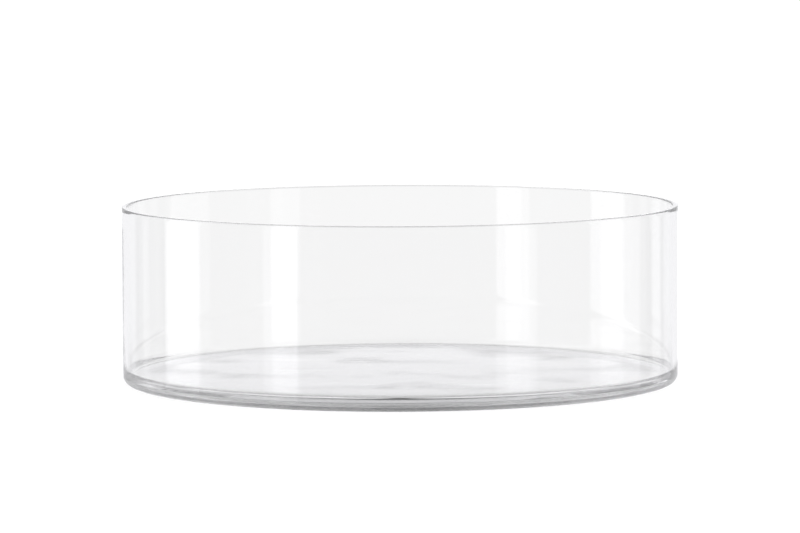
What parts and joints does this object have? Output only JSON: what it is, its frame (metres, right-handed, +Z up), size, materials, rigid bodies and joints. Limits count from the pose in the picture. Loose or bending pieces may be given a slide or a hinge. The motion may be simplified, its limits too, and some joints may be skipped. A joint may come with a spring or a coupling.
{
  "type": "crystallizing dish",
  "caption": "Wide, low laboratory dish of clear glass with a straight cylindrical wall, a flat rim with softened edges and no spout, and a thick flat floor with a rounded heel.",
  "frame": {"origin": "centre of the flat underside, on the dish's axis", "axes": "+Z up along the dish's axis, towards the open rim; X and Y are level and equivalent"},
  "size_m": [0.25, 0.25, 0.08],
  "materials": {
    "clear_glass": "clear, colourless, flame-polished laboratory glass with faint blown waviness in the floor"
  },
  "bodies": {
    "root": {"dish": "clear_glass"}
  },
  "joints": []
}
